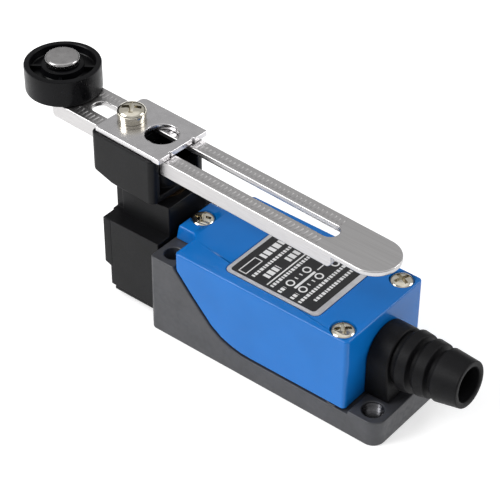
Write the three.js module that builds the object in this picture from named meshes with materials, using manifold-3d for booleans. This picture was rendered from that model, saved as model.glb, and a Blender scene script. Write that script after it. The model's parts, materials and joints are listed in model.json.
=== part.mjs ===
// Limit switch with a slotted, adjustable roller lever.
// Units are millimetres and +Z is up. The origin is the centre of the housing's
// mounting face, +X runs along the housing from the lever head to the cable boot.

import * as THREE from 'three';
import { mergeVertices } from 'three/addons/utils/BufferGeometryUtils.js';
import Module from 'manifold-3d';

const wasm = await Module();
wasm.setup();

// Housing: a die-cast base with a moulded front cover.
const BASE_END = 32;
const BASE_HALF = 14;
const FLOOR_TOP = 2.4;
const POCKET = { x0: -23.5, x1: 21, half: 11.4 };
const PLATEAU_TOP = 21;
const FLANGE = { x: 24.05, top: 6.7 };
const MOUNT_HOLES = { x: 28, y: 10, r: 2.15, tapR: 2.35 };
const COVER = { x0: -24.45, x1: 23.1, half: 13.8, top: 25.2, cavityTop: 22.9 };
const TONGUE = { x0: -31.1, x1: -30.2, half: 5.65, fillet: 1.7 };
const JOINT_GAP = { down: 0.3, up: 0.15, slack: 0.03 };
// Line where the cover meets the base, seen from the side as (x, z).
const PARTING = [
  [-24.56, 20.87], [-22.71, 18.83], [-19.85, 15.57], [-16.99, 12.59], [-14.11, 9.61],
  [-11.22, 7.67], [-8.34, 6.62], [-5.47, 6.02], [-2.61, 5.9], [23.1, 6],
];
const COVER_SCREWS = [[-27.7, 0, 15.6], [19.65, -10.65, 1.5], [19.65, 10.65, 1.5]];
const POST_R = 3;
const LABEL = { x0: -12.4, x1: 13, half: 11.1, r: 1.5, z0: 24.72, z1: 25.12 };

// Cable boot: rubber rings on an axis tilted up from the cover's end face.
const BOOT = { x: 26, z: 15, tilt: THREE.MathUtils.degToRad(5), bore: 4, archR: 6.9, tip: 19.2 };
// Start and end of each ring along that axis, and the depth of the grooves between them.
const BOOT_RINGS = [[4.7, 6.95], [8.95, 11.3], [13.2, BOOT.tip]];
const BOOT_GROOVE = 1.2;
const BOOT_WALL = { x0: 21, x1: 23.1, neckR: 5.4, holeR: 5.65 };

// Rotary head with the lever shaft.
const PIVOT_X = -39.47;
const HEAD = { x0: -49.1, x1: -32.2, half: 10.5, z0: 2.4, z1: 21.4 };
const NECK = { x0: -49.6, half: 6.5, z1: 29.3 };
const CHAMBER = { x0: -46.6, x1: -33.2, half: 4.6, z1: 17.5 };
const SHAFT_R = 3;
const CRANK = { offset: 1.9, r: 1, z0: 8.4, z1: 14.4 };
const PLUNGER = { r: 2, z: 11.2, bore: 2.3 };
const HEAD_SCREWS = { y: 6.2, z: [5, 15.8], r: 1.15, hole: 1.3 };

// Lever parts, in the lever's own frame with the pivot at x = y = 0.
const LEVER_ANGLE = THREE.MathUtils.degToRad(-2.81);
const HUB = { x0: -14.5, x1: 5, half: 8.5, z0: 29.9, z1: 41.55 };
const ARM = { half: 6, z0: 37.5, z1: 41.5, sheet: 1.3, x0: -31.6, x1: 60.7, flange0: -29.5, flange1: 54 };
const SLOT = { x0: -19.1, x1: 48.6, half: 2.4 };
const PLATE = { x0: -13.4, x1: 6.5, half: 7.85, z0: 41.6, z1: 43 };
const CLAMP_X = -9.4;
const ROLLER = { x: -31.6, r: 9.05, z0: 41.75, z1: 48.45, bore: 2.2, hub: 5, rim: 7.65 };

// Switch unit.
const BLOCK = { x0: -14, x1: 11, half: 9.2, z1: 14.6 };
const CARRIER = { x0: -20, x1: 7, half: 2.2, z0: 9, z1: 13.4 };
const BRIDGE_X = -2;
const TERMINAL_Z = 14.65;

const SIDES = 24;
const SMALL_SIDES = 12;

// Materials.
const FINISH = {
  casting: { color: 0x5c5d63, roughness: 0.5, metalness: 0.1 },
  cover: { color: 0x2368bb, roughness: 0.25, metalness: 0 },
  label: { color: 0x151417, roughness: 0.35, metalness: 0.1 },
  black: { color: 0x2a2a2d, roughness: 0.5, metalness: 0 },
  rubber: { color: 0x202023, roughness: 0.75, metalness: 0 },
  nickel: { color: 0xcfc9b4, roughness: 0.2, metalness: 1 },
  steel: { color: 0xb4b2b0, roughness: 0.35, metalness: 1 },
  bronze: { color: 0xb08a4a, roughness: 0.4, metalness: 1 },
  brass: { color: 0xc8a858, roughness: 0.3, metalness: 1 },
  phenolic: { color: 0x6b2f22, roughness: 0.55, metalness: 0 },
  nylon: { color: 0xe6e2d6, roughness: 0.5, metalness: 0 },
};

const X = new THREE.Vector3(1, 0, 0);
const Y = new THREE.Vector3(0, 1, 0);
const Z = new THREE.Vector3(0, 0, 1);
const ALONG_X = new THREE.Matrix4().makeBasis(Y, Z, X);
const ALONG_Y = new THREE.Matrix4().makeBasis(X, Z, Y.clone().negate());

// ---- Solids -------------------------------------------------------------

function solid(geometry) {
  const bare = geometry.index ? geometry.clone() : geometry;
  bare.deleteAttribute('normal');
  bare.deleteAttribute('uv');
  const merged = mergeVertices(bare, 1e-4);
  return new wasm.Manifold(new wasm.Mesh({
    numProp: 3,
    vertProperties: new Float32Array(merged.attributes.position.array),
    triVerts: new Uint32Array(merged.index.array),
  }));
}

function toGeometry(body) {
  const mesh = body.getMesh();
  const geometry = new THREE.BufferGeometry();
  geometry.setAttribute('position', new THREE.BufferAttribute(mesh.vertProperties, 3));
  geometry.setIndex(new THREE.BufferAttribute(mesh.triVerts, 1));
  geometry.computeVertexNormals();
  return geometry;
}

function union(parts) {
  return parts.reduce((sum, part) => sum.add(part));
}

function cut(body, tools) {
  return tools.reduce((rest, tool) => rest.subtract(tool), body);
}

function box(x0, x1, y0, y1, z0, z1) {
  const geometry = new THREE.BoxGeometry(x1 - x0, y1 - y0, z1 - z0);
  geometry.translate((x0 + x1) / 2, (y0 + y1) / 2, (z0 + z1) / 2);
  return solid(geometry);
}

function rodZ(r, x, y, z0, z1, sides = SMALL_SIDES) {
  const geometry = new THREE.CylinderGeometry(r, r, z1 - z0, sides);
  geometry.rotateX(Math.PI / 2);
  geometry.translate(x, y, (z0 + z1) / 2);
  return solid(geometry);
}

function rodX(r, y, z, x0, x1, sides = SMALL_SIDES) {
  const geometry = new THREE.CylinderGeometry(r, r, x1 - x0, sides);
  geometry.rotateZ(-Math.PI / 2);
  geometry.translate((x0 + x1) / 2, y, z);
  return solid(geometry);
}

function extruded(shape, depth, curveSegments) {
  return new THREE.ExtrudeGeometry(shape, { depth, bevelEnabled: false, curveSegments });
}

// Outline in (x, y), extruded from z0 to z1.
function prismZ(shape, z0, z1, curveSegments = 4) {
  const geometry = extruded(shape, z1 - z0, curveSegments);
  geometry.translate(0, 0, z0);
  return solid(geometry);
}

// Outline in (y, z), extruded from x0 to x1.
function prismX(shape, x0, x1, curveSegments = 10) {
  const geometry = extruded(shape, x1 - x0, curveSegments);
  geometry.applyMatrix4(ALONG_X);
  geometry.translate(x0, 0, 0);
  return solid(geometry);
}

// Outline in (x, z), extruded over y = -half to +half.
function prismY(shape, half) {
  const geometry = extruded(shape, 2 * half, 6);
  geometry.applyMatrix4(ALONG_Y);
  geometry.translate(0, half, 0);
  return solid(geometry);
}

function polygon(points) {
  return new THREE.Shape(points.map(([u, v]) => new THREE.Vector2(u, v)));
}

function roundedRect(x0, x1, y0, y1, r) {
  const shape = new THREE.Shape();
  shape.absarc(x1 - r, y1 - r, r, 0, Math.PI / 2);
  shape.absarc(x0 + r, y1 - r, r, Math.PI / 2, Math.PI);
  shape.absarc(x0 + r, y0 + r, r, Math.PI, 1.5 * Math.PI);
  shape.absarc(x1 - r, y0 + r, r, 1.5 * Math.PI, 2 * Math.PI);
  return shape;
}

// Round-topped arch in (y, z) standing on z = foot.
function arch(r, centreZ, foot) {
  const shape = new THREE.Shape();
  shape.moveTo(r, foot);
  shape.absarc(0, centreZ, r, 0, Math.PI);
  shape.lineTo(-r, foot);
  return shape;
}

function stadium(x0, x1, r) {
  const shape = new THREE.Shape();
  shape.absarc(x1, 0, r, -Math.PI / 2, Math.PI / 2);
  shape.absarc(x0, 0, r, Math.PI / 2, 1.5 * Math.PI);
  return shape;
}

// Profile as (r, z) pairs going up the outside of the section.
function lathe(profile, sides = SIDES) {
  const points = profile.map(([r, z]) => new THREE.Vector2(r, z));
  const geometry = new THREE.LatheGeometry(points, sides);
  geometry.rotateX(Math.PI / 2);
  return solid(geometry);
}

function ring(inner, outer, z0, z1, sides = SIDES) {
  return lathe([[inner, z0], [outer, z0], [outer, z1], [inner, z1], [inner, z0]], sides);
}

class Helix extends THREE.Curve {
  constructor(radius, pitch, turns) {
    super();
    this.radius = radius;
    this.pitch = pitch;
    this.turns = turns;
  }

  getPoint(t, target = new THREE.Vector3()) {
    const angle = 2 * Math.PI * this.turns * t;
    return target.set(
      this.radius * Math.cos(angle),
      this.radius * Math.sin(angle),
      this.pitch * this.turns * t,
    );
  }
}

function coil(radius, wire, pitch, turns, stepsPerTurn, sides) {
  const section = new THREE.Shape();
  section.absarc(0, 0, wire, 0, 2 * Math.PI);
  const geometry = new THREE.ExtrudeGeometry(section, {
    steps: Math.round(turns * stepsPerTurn),
    curveSegments: sides,
    extrudePath: new Helix(radius, pitch, turns),
  });
  return solid(geometry);
}

// Pan-head screw hanging down from z = 0 under its head, with a cross recess.
function screw(headR, headHeight, shankR, length) {
  const body = lathe([
    [0, -length], [shankR, -length], [shankR, 0],
    [headR, 0], [headR, headHeight * 0.6], [headR * 0.72, headHeight], [0, headHeight],
  ], SMALL_SIDES);
  const reach = headR * 0.6;
  const half = headR * 0.13;
  const bottom = headHeight * 0.4;
  return cut(body, [
    box(-reach, reach, -half, half, bottom, headHeight + 1),
    box(-half, half, -reach, reach, bottom, headHeight + 1),
  ]);
}

// ---- Scene graph --------------------------------------------------------

const limitSwitch = new THREE.Group();
const lever = new THREE.Group();
lever.position.set(PIVOT_X, 0, 0);
lever.rotation.z = LEVER_ANGLE;
limitSwitch.add(lever);

function addPiece(parent, name, finish, body, position = [0, 0, 0]) {
  const mesh = new THREE.Mesh(toGeometry(body), new THREE.MeshStandardMaterial(FINISH[finish]));
  mesh.name = name;
  mesh.position.set(...position);
  parent.add(mesh);
  return mesh;
}

// ---- Housing ------------------------------------------------------------

function baseBody() {
  const profile = polygon([
    [-BASE_END, 0], [BASE_END, 0], [BASE_END, FLANGE.top], [FLANGE.x, FLANGE.top],
    [FLANGE.x, PARTING.at(-1)[1] - JOINT_GAP.down],
    ...PARTING.toReversed().map(([x, z]) => [x, z - JOINT_GAP.down]),
    [-24.95, PLATEAU_TOP], [-31.5, PLATEAU_TOP],
  ]);
  const plan = new THREE.Shape();
  plan.absarc(29, 11, 3, 0, Math.PI / 2);
  plan.absarc(-30.5, 12.5, 1.5, Math.PI / 2, Math.PI);
  plan.absarc(-30.5, -12.5, 1.5, Math.PI, 1.5 * Math.PI);
  plan.absarc(29, -11, 3, 1.5 * Math.PI, 2 * Math.PI);
  const shell = prismY(profile, BASE_HALF + 1).intersect(prismZ(plan, -1, 30));
  const { x0, x1, half } = POCKET;
  const bosses = COVER_SCREWS.slice(1).map(([x, y]) => rodZ(POST_R, x, y, 1, 5.7, 24));
  const hollowed = cut(shell, [box(x0, x1, -half, half, FLOOR_TOP, 30)]);
  return cut(union([hollowed, ...bosses]), baseHoles());
}

function baseHoles() {
  const holes = [rodX(PLUNGER.bore, 0, PLUNGER.z, -33, -23, 16)];
  for (const side of [-1, 1]) {
    holes.push(rodZ(MOUNT_HOLES.r, -MOUNT_HOLES.x, side * MOUNT_HOLES.y, -1, 30, 16));
    holes.push(rodZ(MOUNT_HOLES.tapR, MOUNT_HOLES.x, side * MOUNT_HOLES.y, -1, 30, 16));
    for (const z of HEAD_SCREWS.z) {
      holes.push(rodX(HEAD_SCREWS.hole, side * HEAD_SCREWS.y, z, -33, -23));
    }
  }
  for (const [x, y, tip] of COVER_SCREWS) {
    holes.push(rodZ(1.5, x, y, tip - 0.4, 30));
  }
  for (const x of [-9.5, 6.5]) {
    holes.push(rodZ(1, x, 0, 0.9, FLOOR_TOP + 1));
  }
  return holes;
}

// The tongue meets the main outline in a fillet on each side.
function coverPlan(z0, z1) {
  const { x0, x1, half } = COVER;
  const { fillet } = TONGUE;
  const root = TONGUE.half + fillet;
  const outline = union([
    prismZ(roundedRect(x0, x1, -half, half, 1), z0, z1),
    box(x0 - fillet, x0 + 2, -root, root, z0, z1),
    box(TONGUE.x0 - 1, x0, -TONGUE.half, TONGUE.half, z0, z1),
  ]);
  return cut(outline, [-1, 1].map(
    (side) => rodZ(fillet, x0 - fillet, side * root, z0 - 1, z1 + 1, SIDES),
  ));
}

function coverBody() {
  const { x1, half, top, cavityTop } = COVER;
  const under = PLATEAU_TOP + 0.05;
  const profile = polygon([
    [TONGUE.x0, under], [-24.95, under],
    ...PARTING.map(([x, z]) => [x, z + JOINT_GAP.up]),
    [x1, top], [TONGUE.x1, top],
  ]);
  const shell = prismY(profile, half + 1).intersect(coverPlan(0, 30));
  const hollowed = cut(shell, [
    box(-22, POCKET.x1, -11.6, 11.6, -1, cavityTop),
    box(-23.3, -21, -8.5, 8.5, -1, 20.5),
    prismX(arch(BOOT_WALL.holeR, BOOT.z, 0), 20, 25),
  ]);
  const posts = COVER_SCREWS.slice(1).map(([x, y]) => rodZ(POST_R, x, y, 6.2, 24, 24));
  const { x0: labelX0, x1: labelX1, half: labelHalf, r } = LABEL;
  const gap = 0.3;
  const recess = roundedRect(labelX0 - gap, labelX1 + gap, -labelHalf - gap, labelHalf + gap, r + gap);
  const holes = COVER_SCREWS.flatMap(([x, y]) => [
    rodZ(1.7, x, y, 0, 30),
    rodZ(2.85, x, y, 23.8, 30, 24),
  ]);
  return cut(union([hollowed, ...posts]), [prismZ(recess, LABEL.z0, 30), ...holes]);
}

function gasketBody() {
  const low = PARTING.map(([x, z]) => [x, z - JOINT_GAP.down + JOINT_GAP.slack]);
  const high = PARTING.toReversed().map(([x, z]) => [x, z + JOINT_GAP.up - JOINT_GAP.slack]);
  const band = prismY(polygon([...low, ...high]), 13.2);
  const ringBody = cut(band, [
    box(-23.4, 20.9, -11.5, 11.5, 0, 30),
    box(22.4, 30, -20, 20, 0, 30),
    box(20, 30, -5.8, 5.8, 0, 30),
  ]);
  return cut(ringBody, COVER_SCREWS.slice(1).map(([x, y]) => rodZ(1.75, x, y, 0, 30)));
}

function labelBody() {
  const { x0, x1, half, r, z0, z1 } = LABEL;
  return prismZ(roundedRect(x0, x1, -half, half, r), z0, z1);
}

addPiece(limitSwitch, 'base_housing', 'casting', baseBody());
addPiece(limitSwitch, 'front_cover', 'cover', coverBody());
addPiece(limitSwitch, 'cover_gasket', 'rubber', gasketBody());
addPiece(limitSwitch, 'label_plate', 'label', labelBody());
COVER_SCREWS.forEach(([x, y, tip], index) => {
  const seat = 23.8;
  addPiece(limitSwitch, `cover_screw_${index + 1}`, 'nickel', screw(2.65, 1.8, 1.35, seat - tip), [x, y, seat]);
});

// ---- Cable boot ---------------------------------------------------------

// Lathe about the boot's tilted axis; s runs outwards along that axis from BOOT.x.
function bootLathe(profile, sides) {
  const points = profile.map(([r, s]) => new THREE.Vector2(r, s));
  const geometry = new THREE.LatheGeometry(points, sides);
  geometry.rotateZ(-Math.PI / 2);
  geometry.rotateY(-BOOT.tilt);
  geometry.translate(BOOT.x, 0, BOOT.z);
  return solid(geometry);
}

function bootRadius(s) {
  return 7.32 - 0.111 * (s - 2.2);
}

function bootProfile() {
  const profile = [[0, 1], [5.6, 1], [5.85, 2.6]];
  for (const [start, end] of BOOT_RINGS) {
    const neck = bootRadius(start) - BOOT_GROOVE;
    profile.push([neck, start - 1.3], [neck, start - 0.15]);
    profile.push([bootRadius(start) - 0.3, start], [bootRadius(start + 0.4), start + 0.4]);
    profile.push([bootRadius(end - 0.4), end - 0.4], [bootRadius(end) - 0.3, end]);
  }
  profile.push([0, BOOT.tip]);
  return profile;
}

function bootBody() {
  const { archR, z, bore, tilt, tip, x } = BOOT;
  const foot = 5.75;
  const endX = (height) => x + (2.9 - (height - z) * Math.sin(tilt)) / Math.cos(tilt);
  const side = polygon([[23.25, 6.85], [endX(6.85), 6.85], [endX(23), 23], [23.25, 23]]);
  const body = union([
    prismX(arch(archR, z, 6), 23.2, 32).intersect(prismY(side, 10)),
    prismX(arch(BOOT_WALL.neckR, z, foot), 20.8, 23.4),
    prismX(arch(6.5, z, foot), 19.5, 20.85),
    bootLathe(bootProfile(), SIDES),
  ]);
  return cut(body, [bootLathe([[0, -9], [bore, -9], [bore, tip + 1], [0, tip + 1]], 24)]);
}

function retainerBody() {
  const plate = prismX(arch(6.5, BOOT.z, 6.2), 18.2, 19.4);
  return cut(plate, [rodX(5.2, 0, 14.4, 17, 21, 24)]);
}

addPiece(limitSwitch, 'cable_boot', 'rubber', bootBody());
addPiece(limitSwitch, 'boot_retainer', 'steel', retainerBody());

// ---- Head ---------------------------------------------------------------

function headBody() {
  const { x0, x1, half, z0, z1 } = HEAD;
  const profile = polygon([
    [x1, z0], [x1, z1], [x0, z1], [x0, 8.4], [-47.4, 7.8], [-47.4, z0],
  ]);
  const neck = cut(box(NECK.x0, x1, -NECK.half, NECK.half, z1 - 1, NECK.z1), [-1, 1].map(
    (side) => box(NECK.x0 - 1, -46.4, side > 0 ? 5 : -8, side > 0 ? 8 : -5, z1, 30),
  ));
  const drillings = [
    box(CHAMBER.x0, CHAMBER.x1, -CHAMBER.half, CHAMBER.half, 0, CHAMBER.z1),
    rodZ(5.5, PIVOT_X, 0, 17, 22, SIDES),
    rodZ(4.65, PIVOT_X, 0, 21, 30, SIDES),
    rodX(PLUNGER.bore, 0, PLUNGER.z, -35, -31, 16),
    cut(box(-33.05, -31, -8.7, 8.7, 2.7, 18.5), [box(-34, -30, -7.7, 7.7, 3.55, 17.65)]),
  ];
  for (const side of [-1, 1]) {
    for (const z of HEAD_SCREWS.z) {
      drillings.push(rodX(HEAD_SCREWS.hole, side * HEAD_SCREWS.y, z, -38.9, -31));
    }
  }
  return cut(union([prismY(profile, half), neck]), drillings);
}

function headGasketBody() {
  return cut(box(-33, -32.03, -8.65, 8.65, 2.75, 18.45), [box(-34, -30, -7.75, 7.75, 3.5, 17.7)]);
}

function bushBody() {
  return lathe([
    [3.1, 22.1], [4.55, 22.1], [4.55, 29.32], [5.4, 29.32], [5.4, 29.7], [4.05, 29.7],
    [4.05, 27.5], [3.1, 27.5], [3.1, 22.1],
  ]);
}

function shaftBody() {
  return lathe([[0, 14.4], [3.6, 14.4], [3.6, 17.2], [SHAFT_R, 17.2], [SHAFT_R, 37], [0, 37]], 24);
}

function plungerBody() {
  const pin = CRANK.offset;
  const half = CRANK.r + 0.22;
  const yoke = cut(box(-43.2, -36.2, -4.2, 4.2, 9.4, 13), [
    box(PIVOT_X - half, PIVOT_X + half, -0.85, pin + 1.35, 9, 14),
  ]);
  return union([yoke, rodX(PLUNGER.r, 0, PLUNGER.z, -36.6, CARRIER.x0, 16)]);
}

const onPivot = [PIVOT_X, 0, 0];
addPiece(limitSwitch, 'head_housing', 'black', headBody());
addPiece(limitSwitch, 'head_bottom_cap', 'black', box(-46.25, HEAD.x1, -10.45, 10.45, 1.4, HEAD.z0));
addPiece(limitSwitch, 'head_gasket', 'rubber', headGasketBody());
addPiece(limitSwitch, 'shaft_bush', 'bronze', bushBody(), onPivot);
addPiece(limitSwitch, 'shaft_seal', 'rubber', ring(3.1, 3.95, 27.6, 29.3), onPivot);
addPiece(limitSwitch, 'return_spring', 'steel', coil(4.3, 0.42, 1.1, 2.8, 10, 3), [PIVOT_X, 0, 18.1]);
addPiece(limitSwitch, 'lever_shaft', 'steel', shaftBody(), onPivot);
addPiece(
  limitSwitch, 'crank_pin', 'steel',
  rodZ(CRANK.r, 0, 0, CRANK.z0, CRANK.z1), [PIVOT_X, CRANK.offset, 0],
);
addPiece(limitSwitch, 'plunger', 'nylon', plungerBody());
HEAD_SCREWS.z.forEach((z, row) => {
  [-1, 1].forEach((side, column) => {
    const name = `head_screw_${2 * row + column + 1}`;
    const mesh = addPiece(
      limitSwitch, name, 'nickel',
      screw(2, 1.4, HEAD_SCREWS.r, 15), [POCKET.x0, side * HEAD_SCREWS.y, z],
    );
    mesh.rotation.y = Math.PI / 2;
  });
});

// ---- Switch unit --------------------------------------------------------

const TERMINALS = [
  { x0: -10.2, leg: -5.7, screwX: -7.7 },
  { x0: 0.9, leg: 0.9, screwX: 3.7 },
];
const TERMINAL_Y = 7.8;

function blockBody() {
  const { x0, x1, half, z1 } = BLOCK;
  const cuts = [
    box(-12, 9.3, -6.4, 6.4, 5, 20),
    box(x0 - 1, x1 + 1, -2.5, 2.5, 8.7, 20),
  ];
  for (const { screwX } of TERMINALS) {
    for (const side of [-1, 1]) {
      cuts.push(rodZ(1.1, screwX, side * TERMINAL_Y, 8.9, 20));
    }
  }
  for (const x of [-9.5, 6.5]) {
    cuts.push(rodZ(1.15, x, 0, 0, 6));
  }
  return cut(box(x0, x1, -half, half, FLOOR_TOP, z1), cuts);
}

function terminalBody({ x0, leg, screwX }, side) {
  const [near, far] = side > 0 ? [3.2, 9] : [-9, -3.2];
  const [legNear, legFar] = side > 0 ? [3.2, 5.4] : [-5.4, -3.2];
  const strap = box(x0, x0 + 5.3, near, far, TERMINAL_Z, TERMINAL_Z + 0.8);
  const foot = box(leg, leg + 0.8, legNear, legFar, 9.9, TERMINAL_Z + 0.1);
  return cut(strap.add(foot), [rodZ(1.2, screwX, side * TERMINAL_Y, 10, 20)]);
}

function carrierBody() {
  const { x0, x1, half, z0, z1 } = CARRIER;
  return cut(box(x0, x1, -half, half, z0, z1), [box(-4.6, 0.6, -5, 5, 10, 12.4)]);
}

function bridgeBody() {
  const blade = box(BRIDGE_X - 0.4, BRIDGE_X + 0.4, -5.6, 5.6, 10.3, 12.1);
  const rivets = [-4.3, 4.3].map((y) => rodX(0.85, y, PLUNGER.z, BRIDGE_X - 0.7, BRIDGE_X + 0.7, 12));
  return union([blade, ...rivets]);
}

addPiece(limitSwitch, 'switch_block', 'phenolic', blockBody());
[-9.5, 6.5].forEach((x, index) => {
  addPiece(limitSwitch, `block_screw_${index + 1}`, 'nickel', screw(1.9, 1.3, 0.85, 3.8), [x, 0, 5]);
});
TERMINALS.forEach((terminal, row) => {
  [-1, 1].forEach((side, column) => {
    const number = 2 * row + column + 1;
    addPiece(limitSwitch, `terminal_${number}`, 'brass', terminalBody(terminal, side));
    addPiece(
      limitSwitch, `terminal_screw_${number}`, 'nickel',
      screw(1.6, 1.4, 0.9, 6), [terminal.screwX, side * TERMINAL_Y, TERMINAL_Z + 0.8],
    );
  });
});
addPiece(limitSwitch, 'contact_carrier', 'nylon', carrierBody());
addPiece(limitSwitch, 'contact_bridge', 'brass', bridgeBody());
[BRIDGE_X - 2.35, BRIDGE_X + 0.65].forEach((x, index) => {
  const mesh = addPiece(
    limitSwitch, `contact_spring_${index + 1}`, 'steel',
    coil(0.72, 0.15, 0.6, 2.6, 10, 2), [x, 0, PLUNGER.z],
  );
  mesh.rotation.y = Math.PI / 2;
});

// ---- Lever --------------------------------------------------------------

function hubBody() {
  const { x0, x1, half, z0, z1 } = HUB;
  const side = polygon([[x0 - 1, z1], [x0 - 1, 31.85], [-8, z0], [x1 + 1, z0], [x1 + 1, z1]]);
  const outer = prismZ(roundedRect(x0, x1, -half, half, 1.6), z0 - 1, z1).intersect(prismY(side, 12));
  const pocket = cut(box(1.2, 7, -6.1, 6.1, 31.6, 40), [rodZ(4.7, 0, 0, 30, 41, 24)]);
  const channelled = cut(outer, [box(-20, 10, -6.2, 6.2, 37.3, 50), pocket]);
  const rib = box(-13.6, -5.2, -4.3, 4.3, 37.2, 39.9);
  return cut(channelled.add(rib), [
    rodZ(3.06, 0, 0, 29, 38, 24),
    rodZ(2.15, CLAMP_X, 0, 29, 42),
    rodZ(4.05, CLAMP_X, 0, 28, 34.1, 6),
  ]);
}

function armBody() {
  const { half, z0, z1, sheet, x0, x1, flange0, flange1 } = ARM;
  const web = prismZ(stadium(x0, x1, half), z1 - sheet, z1, 12);
  const flanges = [-1, 1].map((side) => {
    const [near, far] = side > 0 ? [half - sheet, half] : [-half, sheet - half];
    return box(flange0, flange1, near, far, z0, z1 - 0.5);
  });
  return cut(union([web, ...flanges]), [
    prismZ(stadium(SLOT.x0, SLOT.x1, SLOT.half), 36, 45, 8),
    rodZ(2.05, ROLLER.x, 0, 36, 45, 24),
  ]);
}

function plateBody() {
  const { x0, x1, half, z0, z1 } = PLATE;
  const outline = new THREE.Shape();
  outline.moveTo(x1, -half);
  outline.lineTo(x1, half);
  outline.lineTo(x0 + 1.5, half);
  outline.absarc(x0 + 1.5, half - 1.5, 1.5, Math.PI / 2, Math.PI);
  outline.lineTo(x0, -half);
  return cut(prismZ(outline, z0, z1), [
    rodZ(3.9, 0, 0, 40, 45, SIDES),
    rodZ(2.15, CLAMP_X, 0, 40, 45),
    box(x1 - 0.6, x1 + 1, -4.2, -3.7, 40, 45),
    box(x1 - 0.6, x1 + 1, 3.2, 3.7, 40, 45),
    box(x1 - 0.25, x1 + 1, -4, 3.5, 40, 45),
  ]);
}

function rollerBody() {
  const { r, z0, z1, bore, hub, rim } = ROLLER;
  const disc = lathe([
    [bore, z0], [hub, z0], [hub, z0 + 2], [rim, z0 + 2], [rim, z0], [r - 0.3, z0], [r, z0 + 0.3],
    [r, z1 - 0.3], [r - 0.3, z1], [rim, z1], [rim, z1 - 2], [hub, z1 - 2], [hub, z1 - 0.2],
    [bore, z1 - 0.2], [bore, z0],
  ], 32);
  const ribs = [0, 1].map((turn) => {
    const geometry = new THREE.BoxGeometry(15.2, 0.8, 1.2);
    geometry.rotateZ(turn * Math.PI / 2 + 0.7);
    geometry.translate(0, 0, z1 - 1.6);
    return solid(geometry);
  });
  return cut(union([disc, ...ribs]), [rodZ(bore, 0, 0, z0 - 1, z1 + 1, 32)]);
}

function axleBody() {
  return lathe([
    [0, 39], [2.6, 39], [3, 39.4], [3, 40.15], [2, 40.15], [2, 48.6], [4.05, 48.6],
    [4.05, 49.55], [3.85, 49.95], [3.45, 50.1], [0, 50.1],
  ]);
}

function nutBody() {
  return cut(rodZ(3.8, 0, 0, 31.6, 33.9, 6), [rodZ(2.05, 0, 0, 31, 35)]);
}

const onRoller = [ROLLER.x, 0, 0];
const onClamp = [CLAMP_X, 0, 0];
addPiece(lever, 'lever_hub', 'black', hubBody());
addPiece(lever, 'clamp_plate', 'steel', plateBody());
addPiece(lever, 'clamp_washer', 'nickel', ring(2.2, 3.3, PLATE.z1 + 0.02, PLATE.z1 + 0.9, 24), onClamp);
addPiece(lever, 'clamp_screw', 'nickel', screw(3.4, 2.2, 1.9, 13), [CLAMP_X, 0, PLATE.z1 + 0.95]);
addPiece(lever, 'clamp_nut', 'nickel', nutBody(), onClamp);
addPiece(lever, 'slotted_arm', 'steel', armBody());
addPiece(lever, 'roller_washer', 'steel', ring(2.1, 4.2, 41.52, 41.73, 24), onRoller);
addPiece(lever, 'roller_axle', 'steel', axleBody(), onRoller);
addPiece(lever, 'roller', 'black', rollerBody(), onRoller);

export default limitSwitch;
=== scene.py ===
"""Limit switch with a slotted roller lever: detailed pieces, materials, light and camera."""

import json
import math

import bmesh
import bpy
from mathutils import Matrix, Vector


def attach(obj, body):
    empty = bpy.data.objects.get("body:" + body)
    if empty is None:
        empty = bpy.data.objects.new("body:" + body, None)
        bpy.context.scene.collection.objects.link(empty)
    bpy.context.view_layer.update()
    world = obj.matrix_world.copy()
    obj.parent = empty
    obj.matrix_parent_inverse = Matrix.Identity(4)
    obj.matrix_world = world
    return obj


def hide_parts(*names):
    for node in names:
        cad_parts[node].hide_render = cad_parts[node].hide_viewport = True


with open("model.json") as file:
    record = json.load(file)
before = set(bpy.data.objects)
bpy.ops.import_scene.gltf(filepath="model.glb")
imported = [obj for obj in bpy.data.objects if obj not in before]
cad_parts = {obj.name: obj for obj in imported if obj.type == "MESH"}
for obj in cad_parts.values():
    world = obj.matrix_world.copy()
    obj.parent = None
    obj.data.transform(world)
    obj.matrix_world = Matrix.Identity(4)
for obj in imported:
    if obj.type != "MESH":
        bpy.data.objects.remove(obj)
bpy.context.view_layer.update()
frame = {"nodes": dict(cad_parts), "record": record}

MM = 0.001

# Sizes in millimetres, in the part's frame: +X towards the cable boot, +Z up.
PIVOT_X = -39.47
LEVER_ANGLE = math.radians(-2.81)
BASE_END = 32.0
BASE_HALF = 14.0
FLOOR_TOP = 2.4
BASE_POCKET = (-23.5, 21, -11.4, 11.4)
PLATEAU_X0, PLATEAU_X1, PLATEAU_TOP = -31.5, -24.95, 21.0
FLANGE_X, FLANGE_TOP = 24.05, 6.7
MOUNT_X, MOUNT_Y = 28.0, 10.0
MOUNT_HOLE_R, THREAD_HOLE_R = 2.15, 2.5
COVER_X0, COVER_X1, COVER_HALF, COVER_TOP = -24.45, 23.1, 13.8, 25.2
TONGUE_X0, TONGUE_HALF, TONGUE_FILLET = -30.2, 5.65, 1.7
CLEAR_TOP = 30  # A height above the whole housing, for cutting tools.
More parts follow.
